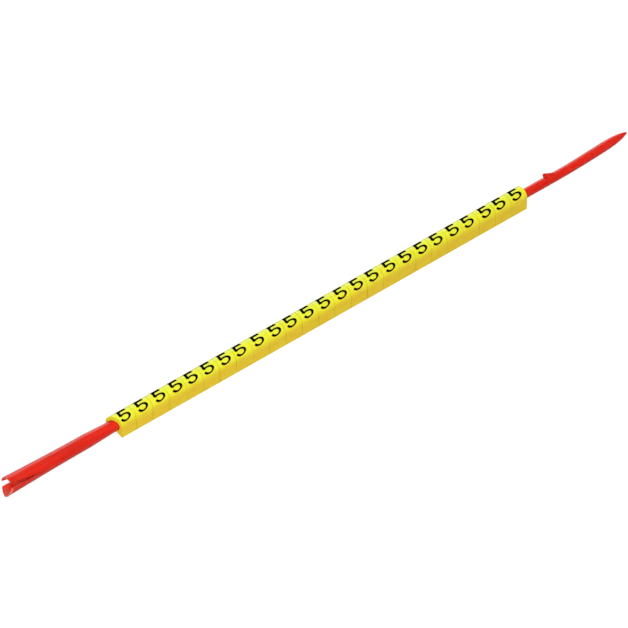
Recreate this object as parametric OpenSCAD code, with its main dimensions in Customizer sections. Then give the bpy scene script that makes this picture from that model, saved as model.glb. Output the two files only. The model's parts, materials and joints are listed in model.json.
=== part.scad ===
// Slide-on cable markers, threaded in a row on a moulded loading rod.
// +X runs from the rod's split feed mouth to its pointed tail.
// +Z is up, and the feet of the sleeves stand on Z = 0.

/* [Markers] */
// Number of sleeves on the rod
marker_count = 25; // [2:1:40]
// Spacing of the sleeves along the rod
marker_pitch = 3; // [2:0.1:6]
// Narrowest slit between two neighbouring sleeves
cut_gap = 0.02; // [0.01:0.01:0.1]
// Most that a sleeve is cut short of its full length
cut_scatter = 0.05; // [0:0.01:0.1]
// Wall of a sleeve at its sides
side_wall = 0.45; // [0.3:0.01:0.6]
// Wall of a sleeve at its crown, over the bore
crown_wall = 0.79; // [0.45:0.01:0.9]
// Wall of a sleeve at its base, under the bore
base_wall = 0.29; // [0.2:0.01:0.6]
// Rise of the hollow between the feet, up to its roof
base_rise = 0.66; // [0.3:0.01:0.9]
// Width of the hollow's flat roof
roof_w = 0.9; // [0.4:0.01:1.2]
// Width of the flat under each foot
foot_w = 0.16; // [0.1:0.01:0.3]
// Angle off square at which the first sleeve's outer end was cut
end_skew = 22; // [0:1:30]

/* [Stem] */
// Diameter of the stem that carries the sleeves
stem_d = 1.4; // [1:0.01:2]
// Clearance between the stem and the bore of a sleeve
fit_gap = 0.03; // [0.02:0.01:0.1]
// Turn of the rod about its own axis, with its front side up
rod_roll = 25; // [0:1:45]

/* [Feed mouth] */
// Length of the rod in front of the first sleeve
feed_l = 19.5; // [16:0.1:30]
// Length of the taper inside the first sleeve, which seats it
seat_l = 1.5; // [0.5:0.1:2]
// Added diameter from the stem to the wide end of the seat
seat_step = 0.26; // [0.1:0.01:0.4]
// Length of the throat, from the seat to the shoulder
throat_l = 4.9; // [3:0.1:7]
// Added diameter from the stem to the shoulder
shoulder_step = 0.66; // [0.4:0.01:1.2]
// Added diameter from the shoulder to the open mouth
mouth_step = 0.58; // [0.1:0.01:1]
// Wall of the mouth at its rim and at the shoulder
mouth_wall = 0.22; // [0.15:0.01:0.35]
// Solid length between the bottom of the socket for the wire and the shoulder
socket_gap = 1.6; // [1.2:0.1:4]
// Length of the slit that splits the mouth into two tongues
slit_l = 6.4; // [3:0.1:8]
// Height of the slit at the mouth
slit_h = 0.9; // [0.4:0.05:1.2]
// Depth of the lower tongue's rim below the axis
rim_drop = 0.2; // [0:0.01:0.5]
// Further drop of that rim at the end of the slit
rim_fall = 0.18; // [0:0.01:0.3]
// Distance by which the upper tongue is shorter than the lower one
tongue_step = 0.8; // [0:0.1:1.5]

/* [Tail] */
// Bare stem between the last sleeve and the barb
barb_gap = 4.7; // [2:0.1:8]
// Length of the barb that stops the sleeves
barb_l = 1.6; // [1:0.1:4]
// Height of the barb over the stem
barb_h = 0.5; // [0.3:0.01:0.8]
// Width of the barb, across its round back
barb_w = 0.84; // [0.35:0.01:1.2]
// Radius of the barb's top edge
barb_round = 0.16; // [0.05:0.01:0.3]
// Length of the stem from the barb to the bend
bend_gap = 0.8; // [0.2:0.1:3]
// Length of the bend in the tail
bend_l = 4; // [1:0.1:8]
// Upward angle of the tail after the bend
bend_angle = 2.5; // [0.5:0.1:5]
// Straight stem between the bend and the point
shank_l = 4.8; // [1:0.1:12]
// Length of the point
nose_l = 4.6; // [2:0.1:8]

/* [Hidden] */
$fn = 64;
// Steps along the flare and the point
curve_steps = 10;
// How fast the mouth opens towards its rim
flare_power = 1.6;
// Length of the cone at the bottom of the socket
socket_cone = 1;
// Length of the lead-in from the rim of the mouth to the even socket
lead_l = 5.6;
// Shape of the point: 1 is an ellipse, and a higher value is sharper
nose_power = 1.26;
// Turn between the cut lengths of one sleeve and the next
scatter_turn = 137;
// Depth to which the back of the barb runs out under the stem's surface
barb_sink = 0.03;
// How much thinner the rod is in its bend
bend_thin = 0.02;
// Angle by which the bend reaches into the straight rod at each end
bend_lap = 0.3;
// Overrun of a cutting body past the face that it cuts
over = 1;

stem_r = stem_d / 2;
seat_r = stem_r + seat_step / 2;
shoulder_r = stem_r + shoulder_step / 2;
mouth_r = shoulder_r + mouth_step / 2;
bore_d = stem_d + 2 * fit_gap;
marker_w = bore_d + 2 * side_wall;
axis_z = base_rise + base_wall + bore_d / 2;
marker_h = axis_z + bore_d / 2 + crown_wall;
arch_z = marker_h - marker_w / 2;
hollow_half = marker_w / 2 - foot_w;
skew_reach = marker_w / 2 * tan(end_skew);
seat_slope = (seat_r - stem_r) / seat_l;
seat_cut = seat_l + skew_reach + over;
flare_l = feed_l - throat_l;
socket_l = flare_l - socket_gap;
socket_r = shoulder_r - mouth_wall;
mouth_span = mouth_r + over;

column_l = marker_count * marker_pitch;
bend_start = column_l + barb_gap + barb_l + bend_gap;
bend_r = bend_l / (bend_angle * PI / 180);
bend_end_x = bend_start + bend_r * sin(bend_angle);
tip_x = bend_end_x + (shank_l + nose_l) * cos(bend_angle);
// The middle of the whole length lies at X = 0
column_x = (feed_l - tip_x) / 2;

function marker_name(i) = str("marker_", i < 10 ? "0" : "", i);
function marker_l(i) = marker_pitch - cut_gap - cut_scatter * abs(sin(scatter_turn * i));
// Half the width of the hollow under the base at a height
function hollow_at(z) = hollow_half - (hollow_half - roof_w / 2) * z / base_rise;
// Radius of the flare at a share of its length, from the shoulder
function flare_r(share) = shoulder_r + (mouth_r - shoulder_r) * pow(share, flare_power);

// Cross-section of a sleeve: a bell with a round bore and a hollow between its two feet
module sleeve_section() {
    difference() {
        union() {
            translate([0, arch_z]) circle(d = marker_w);
            translate([-marker_w / 2, 0]) square([marker_w, arch_z]);
        }
        polygon([
            [-hollow_at(-over), -over],
            [-roof_w / 2, base_rise],
            [roof_w / 2, base_rise],
            [hollow_at(-over), -over]
        ]);
        translate([0, axis_z]) circle(d = bore_d);
    }
}

module sleeve(length) {
    rotate([90, 0, 90]) linear_extrude(length) sleeve_section();
}

// One sleeve, counted from the feed end. The first one is cut askew and widened to sit on the seat.
module marker(i) {
    start = column_x + (i - 1) * marker_pitch;
    color("#ebe02e")
    if (i == 1) {
        difference() {
            translate([start - skew_reach, 0, 0]) sleeve(marker_l(i) + skew_reach);
            translate([start, 0, 0]) rotate(end_skew)
                translate([-marker_pitch, -marker_pitch, -over])
                cube([marker_pitch, 2 * marker_pitch, marker_h + 2 * over]);
            translate([start + seat_l, 0, axis_z]) rotate([0, -90, 0])
                cylinder(r1 = bore_d / 2, r2 = bore_d / 2 + seat_slope * seat_cut, h = seat_cut);
        }
    } else {
        translate([start, 0, 0]) sleeve(marker_l(i));
    }
}

// Stem, throat and open mouth as one turned form, along +Z from the bend to the mouth
module stem_and_mouth() {
    mouth_z = bend_start + feed_l;
    rotate_extrude() polygon(concat(
        [[0, 0], [stem_r, 0], [stem_r, bend_start - seat_l], [seat_r, bend_start]],
        [for (k = [0:curve_steps]) [flare_r(k / curve_steps), mouth_z - flare_l * (1 - k / curve_steps)]],
        [
            [mouth_r - mouth_wall, mouth_z],
            [socket_r, mouth_z - lead_l],
            [socket_r, mouth_z - socket_l],
            [0, mouth_z - socket_l - socket_cone]
        ]
    ));
}

// The slit that splits the mouth, with cuts that shorten the upper tongue and round the lower one
module mouth_cuts() {
    translate([0, mouth_span, 0]) rotate([90, 0, 0]) linear_extrude(2 * mouth_span) polygon([
        [-over, -rim_drop],
        [0, -rim_drop],
        [slit_l, -rim_drop - rim_fall],
        [0, slit_h - rim_drop],
        [-over, slit_h - rim_drop]
    ]);
    translate([-over, -mouth_span, 0]) cube([over + tongue_step, 2 * mouth_span, mouth_span]);
    translate([0, 0, -mouth_span]) linear_extrude(mouth_span) difference() {
        translate([-over, -mouth_span]) square([over + mouth_r, 2 * mouth_span]);
        translate([mouth_r, 0]) circle(r = mouth_r);
    }
}

// Shark-fin barb: a steep face towards the sleeves, and a round back that runs out on the stem
module barb() {
    top = stem_r + barb_h;
    slope = atan((barb_h + barb_sink) / (barb_l - barb_round));
    intersection() {
        translate([0, barb_w, 0]) rotate([90, 0, 0]) linear_extrude(2 * barb_w) union() {
            polygon([[0, 0], [0, top - barb_round], [barb_round, top], [barb_l, stem_r - barb_sink], [barb_l, 0]]);
            translate([barb_round, top - barb_round]) circle(r = barb_round);
        }
        translate([barb_round, 0, top]) rotate([0, 90 + slope, 0])
            translate([0, 0, -barb_l]) linear_extrude(3 * barb_l) union() {
                translate([barb_w / 2, 0]) circle(d = barb_w);
                translate([barb_w / 2, -barb_w / 2]) square([2 * barb_w, barb_w]);
            }
    }
}

// Bent and pointed tail, from the end of the straight stem
module tail() {
    translate([0, 0, bend_r]) rotate([0, 90, -90]) rotate(-bend_lap)
        rotate_extrude(angle = bend_angle + 2 * bend_lap) translate([bend_r, 0]) circle(d = stem_d - bend_thin);
    translate([bend_r * sin(bend_angle), 0, bend_r * (1 - cos(bend_angle))]) rotate([0, 90 - bend_angle, 0])
        rotate_extrude() polygon(concat(
            [[0, 0], [stem_r, 0]],
            [for (k = [0:curve_steps - 1])
                [stem_r * pow(cos(90 * k / curve_steps), nose_power), shank_l + nose_l * sin(90 * k / curve_steps)]],
            [[0, shank_l + nose_l]]
        ));
}

module loading_rod() {
    color("#e0281f") translate([column_x, 0, axis_z]) rotate([-rod_roll, 0, 0]) {
        difference() {
            translate([bend_start, 0, 0]) rotate([0, -90, 0]) stem_and_mouth();
            translate([-feed_l, 0, 0]) mouth_cuts();
        }
        translate([column_l + barb_gap, 0, 0]) barb();
        translate([bend_start, 0, 0]) tail();
    }
}

loading_rod();
for (i = [1:marker_count]) {
    marker(i);
}
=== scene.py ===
"""A row of yellow slide-on cable markers, each printed with a 5, on a red loading rod."""

import json
import math

import bpy
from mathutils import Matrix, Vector


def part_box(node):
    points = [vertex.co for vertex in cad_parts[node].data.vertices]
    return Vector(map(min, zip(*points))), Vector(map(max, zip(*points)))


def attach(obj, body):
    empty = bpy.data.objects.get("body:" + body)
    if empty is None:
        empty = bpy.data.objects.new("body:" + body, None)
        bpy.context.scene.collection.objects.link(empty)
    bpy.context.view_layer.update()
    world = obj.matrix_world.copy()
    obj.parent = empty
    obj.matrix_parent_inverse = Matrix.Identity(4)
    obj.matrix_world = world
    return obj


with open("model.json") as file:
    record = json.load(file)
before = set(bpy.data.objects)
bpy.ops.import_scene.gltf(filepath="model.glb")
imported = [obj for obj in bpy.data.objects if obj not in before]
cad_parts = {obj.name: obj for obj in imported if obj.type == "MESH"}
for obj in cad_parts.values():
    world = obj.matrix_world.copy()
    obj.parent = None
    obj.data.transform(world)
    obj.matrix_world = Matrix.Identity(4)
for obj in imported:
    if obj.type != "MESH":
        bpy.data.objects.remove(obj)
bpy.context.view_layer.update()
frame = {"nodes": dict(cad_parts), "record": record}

MM = 0.001


def box_mm(node):
    """Lowest and highest corner of a CAD node, in millimetres."""
    low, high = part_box(node)
    return low / MM, high / MM


# Sleeves, from the frame. The first one is cut askew, so the next two give the section and the pitch.
SLEEVES = sorted(name for name in frame["nodes"] if name.startswith("marker_"))
SLEEVE_LOW, SLEEVE_HIGH = box_mm(SLEEVES[1])
PITCH = box_mm(SLEEVES[2])[0].x - SLEEVE_LOW.x
ROW_X = SLEEVE_LOW.x - PITCH
ARCH_R = (SLEEVE_HIGH.y - SLEEVE_LOW.y) / 2
# Height of the round crown, which the frame's facets don't quite reach
CROWN_TOP = 3.2
ARCH_Z = CROWN_TOP - ARCH_R
# Height below which a sleeve's side walls carry the full painted shade, which fades towards the lit crown
PAINTED_SHADE_TOP = 1.5

# Rod's axis and its mouth's rim, from the frame
SOCKET = next(mount for mount in frame["record"]["mounts"] if mount["name"] == "wire_socket")
AXIS_Z = SOCKET["pos_m"][2] / MM
RIM_X = box_mm("loading_rod")[0].x
# Lengths from the rim to the ends of the lead-in, of the slit and of the socket with its cone
LEAD_L = 5.6
SLIT_L = 6.4
SOCKET_L = 14
# Radius of the middle of the mouth's wall, at the rim and at the end of the lead-in
WALL_R_RIM = 1.21
WALL_R_LEAD = 0.987
# Half the width of the painted highlight band on the tongues' cut rims
RIM_HIGHLIGHT_HALF = 0.09

# Print film over the arch. Each stroke's is a little thinner, so that no two faces coincide where they cross.
FLAG_FILM = 0.008
STEM_FILM = 0.0072
BOWL_FILM = 0.0064
# Depth to which the film reaches into the sleeve
FILM_SINK = 0.02
# Length of a step along a stroke, and number of faces across it
STROKE_STEP = 0.04
STROKE_LANES = 6

# Numeral on the unwrapped arch, in millimetres: along the rod, up from the front spring line, stroke width
FLAG = [(0.76, 2.28, 0.54), (-0.69, 2.28, 0.54)]
STEM = [(-0.49, 2.3, 0.42), (-0.65, 1.33, 0.42)]
BOWL = [
    (-0.64, 1.37, 0.28), (-0.33, 1.485, 0.25), (-0.04, 1.52, 0.25), (0.24, 1.5, 0.27), (0.49, 1.42, 0.32),
    (0.65, 1.3, 0.39), (0.71, 1.16, 0.43), (0.685, 1.02, 0.4), (0.595, 0.885, 0.32), (0.44, 0.755, 0.24),
    (0.23, 0.655, 0.22), (-0.01, 0.605, 0.22), (-0.25, 0.61, 0.27), (-0.46, 0.67, 0.33),
    (-0.62, 0.765, 0.37), (-0.73, 0.87, 0.38), (-0.785, 0.955, 0.38),
]
# How far each print lies off the middle of its sleeve
PRINT_OFFSETS = [
    -0.03, 0.04, 0.12, 0.17, -0.06, -0.12, -0.12, -0.32, -0.07, 0.03, -0.11, -0.03, 0.01,
    0.1, 0.07, -0.05, 0.09, 0.11, 0.04, -0.09, -0.02, -0.2, 0.06, -0.2, -0.15,
]

# Colours, each material's from one end of its variation to the other
# Sleeves: painted shade, from the golden shaded side walls to the lit lemon yellow crown
SLEEVE_SHADED_TO_LIT_YELLOW = (0.82, 0.575, 0.014), (0.8, 0.885, 0.035)
ROD_RED = (0.64, 0.019, 0.008), (0.71, 0.025, 0.011)
# Painted light: a lighter red inside the mouth, which stands in for light through its thin walls
ROD_PAINTED_LIGHT = (0.94, 0.06, 0.035), (0.98, 0.07, 0.045)
# Painted highlight: a light pink band on the cut rims of the tongues
ROD_RIM_HIGHLIGHT = (0.8, 0.17, 0.13), (0.88, 0.24, 0.19)
INK_BLACK = (0.002, 0.002, 0.002), (0.006, 0.006, 0.005)

# Fineness of the materials' patterns along X, Y and Z, in waves per metre
DRAW_LINES = (250, 9000, 9000)
CLOUDS = (500, 900, 900)
FLOW_MARKS = (120, 1400, 1400)
MOULD_GRAIN = (9000, 9000, 9000)
INK_SPECKS = (3000, 3000, 3000)

# Floor: half its side in metres, its grey for the object's light, and the grey and glow that the camera sees
FLOOR_HALF = 2.0
FLOOR_GREY = 0.25
SHADE_GREY = 0.22
FLOOR_GLOW = 0.84
WORLD_STRENGTH = 0.23

# Camera, as the photograph has it: azimuth from -Y towards -X, elevation, distance from a point of the row,
# that point, the point in the middle of the picture, and the focal length in pixels of the picture
VIEW_AZIMUTH = math.radians(41.35)
VIEW_ELEVATION = math.radians(40)
VIEW_DISTANCE = 1024.26
VIEW_FROM = Vector((-0.495, 0, 1.5))
VIEW_AT = Vector((-1.544, 0.375, 1.009))
PICTURE_SIZE = 628
FOCAL_LENGTH = 7407.83

# Sockets of a Mix node for colours, which shares their names with other kinds of value
MIX_SHARE, MIX_FIRST, MIX_SECOND, MIX_RESULT = 0, 6, 7, 2


def curve_value(p, q, r, s, t):
    """A value at share t of the way from q to r, on a smooth curve through p, q, r and s."""
    bend = 2 * p - 5 * q + 4 * r - s
    twist = 3 * q - p - 3 * r + s
    return 0.5 * (2 * q + (r - p) * t + bend * t ** 2 + twist * t ** 3)


def smooth_path(points, step):
    """Points at about equal steps on a curve through the given ones."""
    padded = [points[0]] + list(points) + [points[-1]]
    path = []
    for a, b, c, d in zip(padded, padded[1:], padded[2:], padded[3:]):
        steps = max(1, round(math.dist(b, c) / step))
        for k in range(steps):
            path.append(tuple(curve_value(*values, k / steps) for values in zip(a, b, c, d)))
    path.append(points[-1])
    return path


def straight_path(points, step):
    """Points at about equal steps on the straight lines between the given ones."""
    path = []
    for a, b in zip(points, points[1:]):
        steps = max(1, round(math.dist(a, b) / step))
        path += [tuple(p + (q - p) * k / steps for p, q in zip(a, b)) for k in range(steps)]
    path.append(points[-1])
    return path


def ribbon_sides(path):
    """Half-width vectors of a stroke along its path."""
    sides = []
    for k, point in enumerate(path):
        before, after = path[max(k - 1, 0)], path[min(k + 1, len(path) - 1)]
        way = (Vector(after[:2]) - Vector(before[:2])).normalized()
        sides.append(Vector((-way.y, way.x)) * point[2] / 2)
    return sides


def on_arch(along, up, height):
    """A point over a sleeve's arch, from its place on the unwrapped arch."""
    angle = up / ARCH_R
    radius = ARCH_R + height
    return Vector((along, -radius * math.cos(angle), ARCH_Z + radius * math.sin(angle))) * MM


def ribbon(path, centre, film_top):
    """Vertices and faces of one closed printed stroke on the arch."""
    verts, faces = [], []
    lanes = STROKE_LANES + 1
    for height in (-FILM_SINK, film_top):
        for point, side in zip(path, ribbon_sides(path)):
            for lane in range(lanes):
                spot = Vector(point[:2]) + side * (2 * lane / STROKE_LANES - 1)
                verts.append(on_arch(centre + spot.x, spot.y, height))
    layer = len(path) * lanes
    for k in range(len(path) - 1):
        for lane in range(STROKE_LANES):
            a = k * lanes + lane
            quad = (a, a + 1, a + lanes + 1, a + lanes)
            faces.append(quad)
            faces.append(tuple(layer + v for v in reversed(quad)))
        for lane, flip in ((0, False), (STROKE_LANES, True)):
            a = k * lanes + lane
            wall = (a, a + lanes, layer + a + lanes, layer + a)
            faces.append(wall[::-1] if flip else wall)
    for k, flip in ((0, True), (len(path) - 1, False)):
        for lane in range(STROKE_LANES):
            a = k * lanes + lane
            wall = (a, a + 1, layer + a + 1, layer + a)
            faces.append(wall if flip else wall[::-1])
    return verts, faces


def numeral(index):
    """The printed 5 on one sleeve, as a thin film that follows the arch."""
    centre = ROW_X + (index + 0.5) * PITCH + PRINT_OFFSETS[index]
    verts, faces = [], []
    strokes = (
        (straight_path(FLAG, STROKE_STEP), FLAG_FILM),
        (straight_path(STEM, STROKE_STEP), STEM_FILM),
        (smooth_path(BOWL, STROKE_STEP), BOWL_FILM),
    )
    for path, film_top in strokes:
        stroke_verts, stroke_faces = ribbon(path, centre, film_top)
        faces += [tuple(len(verts) + v for v in face) for face in stroke_faces]
        verts += stroke_verts
    mesh = bpy.data.meshes.new("numeral_%02d" % (index + 1))
    mesh.from_pydata(verts, [], faces)
    mesh.update()
    piece = bpy.data.objects.new(mesh.name, mesh)
    bpy.context.scene.collection.objects.link(piece)
    return piece


class Nodes:
    """Short way to build a node material."""

    def __init__(self, name):
        self.material = bpy.data.materials.new(name)
        self.material.use_nodes = True
        self.tree = self.material.node_tree
        self.tree.nodes.clear()
        self.output = self.add("ShaderNodeOutputMaterial")

    def add(self, kind, inputs=None, **settings):
        """A node with its settings, and with each input linked to a socket or set to a value."""
        node = self.tree.nodes.new(kind)
        for key, value in settings.items():
            setattr(node, key, value)
        for key, value in (inputs or {}).items():
            if isinstance(value, bpy.types.NodeSocket):
                self.tree.links.new(value, node.inputs[key])
            else:
                node.inputs[key].default_value = value
        return node

    def coords(self, scale, shift=(0, 0, 0)):
        """The object's own coordinates, stretched and then shifted."""
        place = self.add("ShaderNodeTexCoord").outputs["Object"]
        ways = {"Vector": place, "Scale": scale, "Location": shift}
        return self.add("ShaderNodeMapping", ways).outputs["Vector"]

    def place(self, axis):
        """The object's own coordinate along one axis, in millimetres."""
        return self.add("ShaderNodeSeparateXYZ", {0: self.coords((1 / MM,) * 3)}).outputs[axis]

    def math(self, operation, first, second, third=0.0):
        return self.add("ShaderNodeMath", {0: first, 1: second, 2: third}, operation=operation).outputs[0]

    def mix(self, share, first, second):
        ends = {MIX_SHARE: share, MIX_FIRST: first, MIX_SECOND: second}
        return self.add("ShaderNodeMix", ends, data_type="RGBA").outputs[MIX_RESULT]

    def noise(self, vector, detail=3.0):
        pattern = {"Vector": vector, "Scale": 1.0, "Detail": detail}
        return self.add("ShaderNodeTexNoise", pattern).outputs["Fac"]

    def ramp(self, value, low, high, start=0.3, end=0.7):
        """A colour between two, as the value goes from start to end."""
        node = self.add("ShaderNodeValToRGB", {"Fac": value})
        for stop, position, colour in zip(node.color_ramp.elements, (start, end), (low, high)):
            stop.position = position
            stop.color = (*colour, 1)
        return node.outputs["Color"]

    def level(self, value, low, high, start=0.0, end=1.0):
        """A value from one range moved to another, and held inside it."""
        ends = {"Value": value, "From Min": start, "From Max": end, "To Min": low, "To Max": high}
        return self.add("ShaderNodeMapRange", ends).outputs["Result"]

    def bump(self, height, strength, distance):
        relief = {"Height": height, "Strength": strength, "Distance": distance}
        return self.add("ShaderNodeBump", relief).outputs["Normal"]

    def finish(self, shader):
        self.tree.links.new(shader.outputs[0], self.output.inputs["Surface"])
        return self.material


def sleeve_material():
    """Soft extruded PVC with fine draw lines, with painted shade: golden on the thin side walls, lemon yellow
    on the lit crown.
    """
    nodes = Nodes("sleeve_yellow")
    lines = nodes.noise(nodes.coords(DRAW_LINES))
    cloud = nodes.noise(nodes.coords(CLOUDS))
    # Painted shade: with height the colour turns from the golden shaded side walls to the lit lemon crown,
    # plus random clouds
    crown = nodes.level(nodes.place("Z"), low=0.0, high=0.8, start=PAINTED_SHADE_TOP, end=CROWN_TOP)
    painted_shade_and_cloud = nodes.math("ADD", crown, nodes.level(cloud, low=-0.05, high=0.25, start=0.3, end=0.7))
    shader = nodes.add("ShaderNodeBsdfPrincipled", {
        "Base Color": nodes.ramp(painted_shade_and_cloud, *SLEEVE_SHADED_TO_LIT_YELLOW, start=0.0, end=1.0),
        "Roughness": nodes.level(lines, low=0.4, high=0.56),
        "Specular IOR Level": 0.35,
        "Subsurface Weight": 0.3,
        "Subsurface Radius": (1.0, 0.35, 0.1),
        "Subsurface Scale": 0.0008,
        "Normal": nodes.bump(lines, strength=0.45, distance=0.00003),
    })
    return nodes.finish(shader)


def rod_material():
    """Moulded red plastic with a satin gloss and faint flow marks.

    It is painted lighter inside the thin mouth, as painted light, and carries a painted highlight band on the
    cut rims of the tongues.
    """
    nodes = Nodes("rod_red")
    along = nodes.place("X")
    across = nodes.coords((0, 1 / MM, 1 / MM), (0, 0, -AXIS_Z))
    radius = nodes.add("ShaderNodeVectorMath", {0: across}, operation="LENGTH").outputs["Value"]
    # Mask of the mouth's inside, which gets painted light
    wall = nodes.level(along, WALL_R_RIM, WALL_R_LEAD, start=RIM_X, end=RIM_X + LEAD_L)
    within_wall = nodes.math("LESS_THAN", radius, wall)
    before_bottom = nodes.math("LESS_THAN", along, RIM_X + SOCKET_L)
    inside = nodes.math("MULTIPLY", within_wall, before_bottom)
    # Mask of the tongues' cut rims, which get a painted highlight
    near_wall = nodes.math("COMPARE", radius, wall, RIM_HIGHLIGHT_HALF)
    along_slit = nodes.math("LESS_THAN", along, RIM_X + SLIT_L)
    rim_highlight_mask = nodes.math("MULTIPLY", near_wall, along_slit)
    flow = nodes.noise(nodes.coords(FLOW_MARKS))
    grain = nodes.noise(nodes.coords(MOULD_GRAIN), detail=2.0)
    red = nodes.ramp(flow, *ROD_RED)
    painted_inside_light = nodes.ramp(flow, *ROD_PAINTED_LIGHT)
    painted_rim_highlight = nodes.ramp(flow, *ROD_RIM_HIGHLIGHT)
    shader = nodes.add("ShaderNodeBsdfPrincipled", {
        # Painted light inside the mouth and a painted highlight on the tongues' rims, over the red
        "Base Color": nodes.mix(rim_highlight_mask, nodes.mix(inside, red, painted_inside_light), painted_rim_highlight),
        "Roughness": nodes.level(flow, low=0.32, high=0.44),
        "Specular IOR Level": 0.15,
        "Subsurface Weight": 1.0,
        "Subsurface Radius": (1.0, 0.08, 0.05),
        "Subsurface Scale": 0.0008,
        "Normal": nodes.bump(grain, strength=0.12, distance=0.00001),
    })
    return nodes.finish(shader)


def print_material():
    """Matt black marking ink, a little uneven in depth."""
    nodes = Nodes("print_black")
    ink = nodes.noise(nodes.coords(INK_SPECKS))
    shader = nodes.add("ShaderNodeBsdfPrincipled", {
        "Base Color": nodes.ramp(ink, *INK_BLACK),
        "Roughness": nodes.level(ink, low=0.5, high=0.7),
        "Specular IOR Level": 0.0,
    })
    return nodes.finish(shader)


def floor_material():
    """White studio floor, which keeps a soft shadow."""
    nodes = Nodes("floor_white")
    path = nodes.add("ShaderNodeLightPath").outputs
    seen = nodes.math("MAXIMUM", path["Is Camera Ray"], path["Is Glossy Ray"])
    seen = nodes.math("MAXIMUM", seen, path["Is Transmission Ray"])
    paper = nodes.add("ShaderNodeBsdfDiffuse", {"Color": (FLOOR_GREY, FLOOR_GREY, FLOOR_GREY, 1)})
    shade = nodes.add("ShaderNodeBsdfDiffuse", {"Color": (SHADE_GREY, SHADE_GREY, SHADE_GREY, 1)})
    glow = nodes.add("ShaderNodeEmission", {"Color": (1, 1, 1, 1), "Strength": FLOOR_GLOW})
    white = nodes.add("ShaderNodeAddShader", {0: shade.outputs[0], 1: glow.outputs[0]})
    shader = nodes.add("ShaderNodeMixShader", {0: seen, 1: paper.outputs[0], 2: white.outputs[0]})
    return nodes.finish(shader)


def add_floor():
    corners = [(x * FLOOR_HALF, y * FLOOR_HALF, 0) for x, y in ((-1, -1), (1, -1), (1, 1), (-1, 1))]
    mesh = bpy.data.meshes.new("floor")
    mesh.from_pydata(corners, [], [(0, 1, 2, 3)])
    floor = bpy.data.objects.new("floor", mesh)
    bpy.context.scene.collection.objects.link(floor)
    mesh.materials.append(floor_material())


def add_area_light(name, place, size, watts, colour=(1, 1, 1)):
    """A round lamp at a place in metres, which faces the middle of the row."""
    lamp = bpy.data.lights.new(name, "AREA")
    lamp.shape = "DISK"
    lamp.size = size
    lamp.energy = watts
    lamp.color = colour
    light = bpy.data.objects.new(name, lamp)
    light.location = place
    light.rotation_euler = (-Vector(place)).to_track_quat("-Z", "Y").to_euler()
    bpy.context.scene.collection.objects.link(light)


def add_world():
    world = bpy.data.worlds.new("studio")
    world.use_nodes = True
    background = world.node_tree.nodes["Background"]
    background.inputs["Color"].default_value = (1, 1, 1, 1)
    background.inputs["Strength"].default_value = WORLD_STRENGTH
    bpy.context.scene.world = world


def add_camera():
    away = Vector((
        -math.cos(VIEW_ELEVATION) * math.sin(VIEW_AZIMUTH),
        -math.cos(VIEW_ELEVATION) * math.cos(VIEW_AZIMUTH),
        math.sin(VIEW_ELEVATION),
    ))
    lens = bpy.data.cameras.new("camera")
    lens.sensor_fit = "HORIZONTAL"
    lens.angle = 2 * math.atan(PICTURE_SIZE / 2 / FOCAL_LENGTH)
    lens.clip_start = 0.01
    lens.clip_end = 10
    camera = bpy.data.objects.new("camera", lens)
    camera.location = (VIEW_FROM + away * VIEW_DISTANCE) * MM
    camera.rotation_euler = (VIEW_AT * MM - camera.location).to_track_quat("-Z", "Y").to_euler()
    bpy.context.scene.collection.objects.link(camera)
    bpy.context.scene.camera = camera


bpy.context.scene.view_settings.view_transform = "Standard"

yellow, red, black = sleeve_material(), rod_material(), print_material()
for name, node in frame["nodes"].items():
    node.data.materials.clear()
    node.data.materials.append(red if name == "loading_rod" else yellow)

for index, sleeve in enumerate(SLEEVES):
    piece = numeral(index)
    piece.data.materials.append(black)
    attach(piece, "last_marker" if sleeve == SLEEVES[-1] else "rod_row")

add_floor()
add_world()
add_area_light("key", place=(-0.05, -0.25, 0.6), size=0.6, watts=1.34)
add_area_light("fill", place=(-0.332, -0.377, 0.422), size=0.25, watts=2.25, colour=(1, 0.95, 0.88))
add_area_light("low", place=(-0.25, -0.5, 0.2), size=0.4, watts=1.05, colour=(1, 0.86, 0.72))
add_area_light("back", place=(0.35, 0.52, 0.28), size=0.3, watts=1.9)
add_camera()
